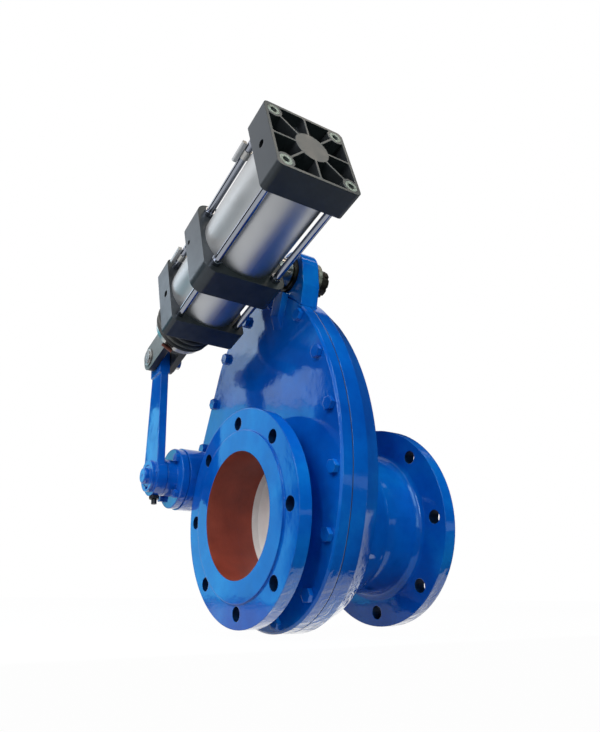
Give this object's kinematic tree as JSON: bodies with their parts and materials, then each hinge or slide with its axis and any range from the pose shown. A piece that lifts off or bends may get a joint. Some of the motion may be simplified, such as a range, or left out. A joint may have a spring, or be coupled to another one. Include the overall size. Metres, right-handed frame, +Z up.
{
  "type": "ceramic oscillating valve",
  "caption": "Flanged sector valve whose ceramic disc swings across the bore, driven through a lever by a pneumatic cylinder on a trunnion.",
  "frame": {"origin": "centre of the inlet flange's bolt circle on its bolting face", "axes": "+Y along the bore from inlet to outlet, +Z up towards the cylinder, +X to the right seen from the inlet"},
  "size_m": [0.5941, 0.428, 0.7111],
  "materials": {
    "blue_enamel": "gloss enamel",
    "white_ceramic": "ground ceramic",
    "black_rubber": "matte",
    "bronze": "turned",
    "dark_bronze": "darkened",
    "bright_steel": "ground",
    "stainless_steel": "satin",
    "zinc_plate": "zinc plated",
    "black_oxide_steel": "black oxide",
    "chromed_steel": "chromed",
    "black_anodised": "black satin",
    "clear_anodised": "satin anodised",
    "cast_grey": "galvanised casting",
    "copper_screw": "reddish plated"
  },
  "bodies": {
    "housing": {"front_cover": "blue_enamel", "inlet_flange": "blue_enamel", "rear_housing": "blue_enamel", "case_gasket": "black_rubber", "case_bolts": "blue_enamel", "front_seat_ring": "white_ceramic", "rear_seat_ring": "white_ceramic", "front_seat_seal": "black_rubber", "rear_seat_seal": "black_rubber", "front_shaft_bush": "bronze", "rear_shaft_bush": "bronze", "packing_rings": "black_rubber", "gland_follower": "blue_enamel", "gland_studs": "blue_enamel", "gland_nuts": "blue_enamel", "rear_bearing_cap": "blue_enamel", "rear_cap_screws": "blue_enamel", "trunnion_bracket": "blue_enamel", "ear_bush": "bronze"},
    "lever": {"shaft": "bright_steel", "shaft_key": "bright_steel", "lever": "blue_enamel", "lever_set_screw": "black_oxide_steel", "lever_locknut": "black_oxide_steel", "swing_arm": "stainless_steel", "front_ceramic_disc": "white_ceramic", "rear_ceramic_disc": "white_ceramic", "disc_spring": "stainless_steel", "clevis_pin_middle": "bright_steel"},
    "cylinder": {"cylinder_barrel": "clear_anodised", "rear_cylinder_cap": "black_anodised", "front_cylinder_cap": "black_anodised", "trunnion_block": "black_anodised", "block_grub_screw": "black_oxide_steel", "tie_rods": "chromed_steel", "tie_rod_collars": "chromed_steel", "tie_rod_nuts": "chromed_steel", "cushion_screws": "bronze", "rod_bush": "bronze", "rod_wiper_seal": "black_rubber", "bellows": "black_rubber", "sensor_clamps": "stainless_steel", "end_sensors": "clear_anodised", "trunnion_pin": "bright_steel", "trunnion_thrust_ring": "bronze", "trunnion_washers": "zinc_plate", "trunnion_nut": "dark_bronze"},
    "rod": {"piston_rod": "bright_steel", "piston": "clear_anodised", "piston_seals": "black_rubber", "rod_fork": "cast_grey", "fork_jam_nut": "cast_grey", "clevis_pin_ends": "bright_steel", "pin_snap_ring": "stainless_steel", "pin_washer": "stainless_steel", "split_pin": "stainless_steel", "bellows_collar": "clear_anodised", "hose_clamp": "stainless_steel", "hose_clamp_housing": "stainless_steel", "hose_clamp_screw": "copper_screw"}
  },
  "joints": [
    {"name": "lever_swing", "type": "hinge", "parent": "housing", "child": "lever", "pos_m": [-0.208, -0.053, 0.086], "axis": [0, -1, 0], "range_deg": [0, 58]},
    {"name": "cylinder_swivel", "type": "hinge", "parent": "housing", "child": "cylinder", "pos_m": [0.073, -0.053, 0.40702], "axis": [0, -1, 0], "range_deg": [0, 7.6]},
    {"name": "rod_extend", "type": "slide", "parent": "cylinder", "child": "rod", "axis": [-0.9644, 0, -0.2643], "range_m": [0, 0.2265], "deforming": ["bellows"]}
  ],
  "couplings": [
    {"joint": "cylinder_swivel", "follows": "lever_swing", "ratio": 0.1308},
    {"joint": "rod_extend", "follows": "lever_swing", "m_per_rad": 0.22366}
  ]
}
